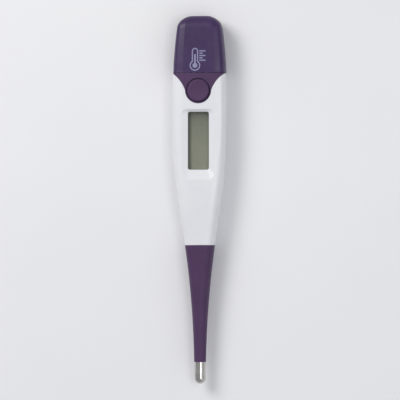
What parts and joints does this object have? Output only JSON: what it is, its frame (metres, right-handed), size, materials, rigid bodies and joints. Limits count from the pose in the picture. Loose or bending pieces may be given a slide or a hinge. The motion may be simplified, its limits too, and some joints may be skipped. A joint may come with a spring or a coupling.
{
  "type": "digital thermometer",
  "caption": "Pen-type digital thermometer: white housing with display window, purple button pad, pull-off battery cover, soft purple probe that bends, and a steel sensor tip.",
  "frame": {"origin": "on the resting plane, under the middle of the length, in the plane of symmetry of the outer form", "axes": "+X along the length towards the sensor tip, +Z out of the display, +Y across"},
  "size_m": [0.135, 0.0198, 0.0119],
  "materials": {
    "white_abs": "satin white moulded ABS",
    "purple_abs": "satin dark purple ABS",
    "purple_tpe": "matt dark purple soft elastomer",
    "purple_web": "thin matt dark purple elastomer",
    "clear_lens": "clear polished PMMA",
    "gasket_foam": "black foam tape",
    "lcd_glass": "display glass",
    "polariser": "grey-green polariser film",
    "reflector": "silver-grey reflector film",
    "black_abs": "black moulded plastic",
    "natural_abs": "natural grey-white moulded plastic",
    "zebra_silicone": "layered conductive silicone strip",
    "board_laminate": "green solder mask on glass-epoxy board",
    "black_epoxy": "black epoxy dome",
    "component_ceramic": "chip component bodies",
    "resistor_body": "chip resistor bodies",
    "piezo_ceramic": "silvered piezo ceramic",
    "brass_sheet": "rolled brass sheet",
    "spring_steel": "nickel-plated spring strip",
    "cell_steel": "nickel-plated cell can",
    "tip_steel": "fine-polished stainless steel",
    "seal_silicone": "grey silicone",
    "wire_sleeving": "thin red wire insulation",
    "solder": "bright solder",
    "thermistor_glass": "glass bead",
    "filling_epoxy": "cast thermal epoxy"
  },
  "bodies": {
    "thermometer_body": {"housing": "white_abs", "cover_seal": "seal_silicone", "button_pad": "purple_tpe", "button_membrane": "purple_web", "dome_switch": "spring_steel", "window_lens": "clear_lens", "display_gasket": "gasket_foam", "lcd_front_polariser": "polariser", "lcd_front_glass": "lcd_glass", "lcd_rear_glass": "lcd_glass", "lcd_reflector": "reflector", "lcd_frame": "black_abs", "zebra_connector": "zebra_silicone", "chassis": "natural_abs", "circuit_board": "board_laminate", "chip_cover": "black_epoxy", "chip_resistors": "resistor_body", "chip_capacitors": "component_ceramic", "buzzer_plate": "brass_sheet", "buzzer_crystal": "piezo_ceramic", "buzzer_wires": "wire_sleeving", "contact_plus": "spring_steel", "contact_minus": "spring_steel", "sensor_wires": "wire_sleeving", "solder_joints": "solder", "sleeve_root": "purple_tpe"},
    "battery_cover": {"battery_cover": "purple_abs"},
    "battery_drawer": {"battery_tray": "black_abs", "battery_cell": "cell_steel"},
    "power_button": {"button": "purple_tpe"},
    "probe_01": {"sleeve_link_01": "purple_tpe"},
    "probe_02": {"sleeve_link_02": "purple_tpe"},
    "probe_03": {"sleeve_link_03": "purple_tpe"},
    "probe_04": {"sleeve_link_04": "purple_tpe"},
    "probe_05": {"sleeve_link_05": "purple_tpe"},
    "probe_06": {"sleeve_link_06": "purple_tpe"},
    "probe_07": {"sleeve_link_07": "purple_tpe"},
    "probe_08": {"sleeve_link_08": "purple_tpe"},
    "probe_09": {"sleeve_link_09": "purple_tpe"},
    "probe_end": {"sleeve_tip": "purple_tpe", "sensor_tip": "tip_steel", "thermistor": "thermistor_glass", "thermistor_leads": "spring_steel", "tip_filling": "filling_epoxy"}
  },
  "joints": [
    {"name": "button_press", "type": "slide", "parent": "thermometer_body", "child": "power_button", "axis": [0, 0, -1], "range_m": [0, 0.0005], "stiffness_N_per_m": 3000, "deforming": ["button_membrane", "dome_switch"]},
    {"name": "cover_slide", "type": "slide", "parent": "thermometer_body", "child": "battery_cover", "axis": [-1, 0, 0], "range_m": [0, 0.026]},
    {"name": "drawer_slide", "type": "slide", "parent": "thermometer_body", "child": "battery_drawer", "axis": [-1, 0, 0], "range_m": [0, 0.0048]},
    {"name": "bend_up_1", "type": "hinge", "parent": "thermometer_body", "child": "probe_01", "pos_m": [0.0255, 0, 0.0057], "axis": [0, -1, 0], "range_deg": [0, 10.8], "stiffness_Nm_per_rad": 0.1, "deforming": ["sensor_wires"]},
    {"name": "bend_side_1", "type": "hinge", "parent": "probe_01", "child": "probe_02", "pos_m": [0.0287, 0, 0.0057], "axis": [0, 0, 1], "range_deg": [-10.8, 10.8], "stiffness_Nm_per_rad": 0.1},
    {"name": "bend_up_2", "type": "hinge", "parent": "probe_02", "child": "probe_03", "pos_m": [0.0319, 0, 0.0057], "axis": [0, -1, 0], "range_deg": [0, 16.2], "stiffness_Nm_per_rad": 0.0667},
    {"name": "bend_side_2", "type": "hinge", "parent": "probe_03", "child": "probe_04", "pos_m": [0.0351, 0, 0.0057], "axis": [0, 0, 1], "range_deg": [-16.2, 16.2], "stiffness_Nm_per_rad": 0.0667},
    {"name": "bend_up_3", "type": "hinge", "parent": "probe_04", "child": "probe_05", "pos_m": [0.0383, 0, 0.0057], "axis": [0, -1, 0], "range_deg": [0, 21.6], "stiffness_Nm_per_rad": 0.05},
    {"name": "bend_side_3", "type": "hinge", "parent": "probe_05", "child": "probe_06", "pos_m": [0.0415, 0, 0.0057], "axis": [0, 0, 1], "range_deg": [-21.6, 21.6], "stiffness_Nm_per_rad": 0.05},
    {"name": "bend_up_4", "type": "hinge", "parent": "probe_06", "child": "probe_07", "pos_m": [0.0447, 0, 0.0057], "axis": [0, -1, 0], "range_deg": [0, 21.6], "stiffness_Nm_per_rad": 0.05},
    {"name": "bend_side_4", "type": "hinge", "parent": "probe_07", "child": "probe_08", "pos_m": [0.0479, 0, 0.0057], "axis": [0, 0, 1], "range_deg": [-21.6, 21.6], "stiffness_Nm_per_rad": 0.05},
    {"name": "bend_up_5", "type": "hinge", "parent": "probe_08", "child": "probe_09", "pos_m": [0.0511, 0, 0.0057], "axis": [0, -1, 0], "range_deg": [0, 19.8], "stiffness_Nm_per_rad": 0.0545},
    {"name": "bend_side_5", "type": "hinge", "parent": "probe_09", "child": "probe_end", "pos_m": [0.0543, 0, 0.0057], "axis": [0, 0, 1], "range_deg": [-19.8, 19.8], "stiffness_Nm_per_rad": 0.0545}
  ],
  "couplings": [
    {"joint": "drawer_slide", "follows": "cover_slide", "ratio": 0.18461},
    {"joint": "bend_up_2", "follows": "bend_up_1", "ratio": 1.5},
    {"joint": "bend_side_2", "follows": "bend_side_1", "ratio": 1.5},
    {"joint": "bend_up_3", "follows": "bend_up_1", "ratio": 2},
    {"joint": "bend_side_3", "follows": "bend_side_1", "ratio": 2},
    {"joint": "bend_up_4", "follows": "bend_up_1", "ratio": 2},
    {"joint": "bend_side_4", "follows": "bend_side_1", "ratio": 2},
    {"joint": "bend_up_5", "follows": "bend_up_1", "ratio": 1.8333},
    {"joint": "bend_side_5", "follows": "bend_side_1", "ratio": 1.8333}
  ]
}
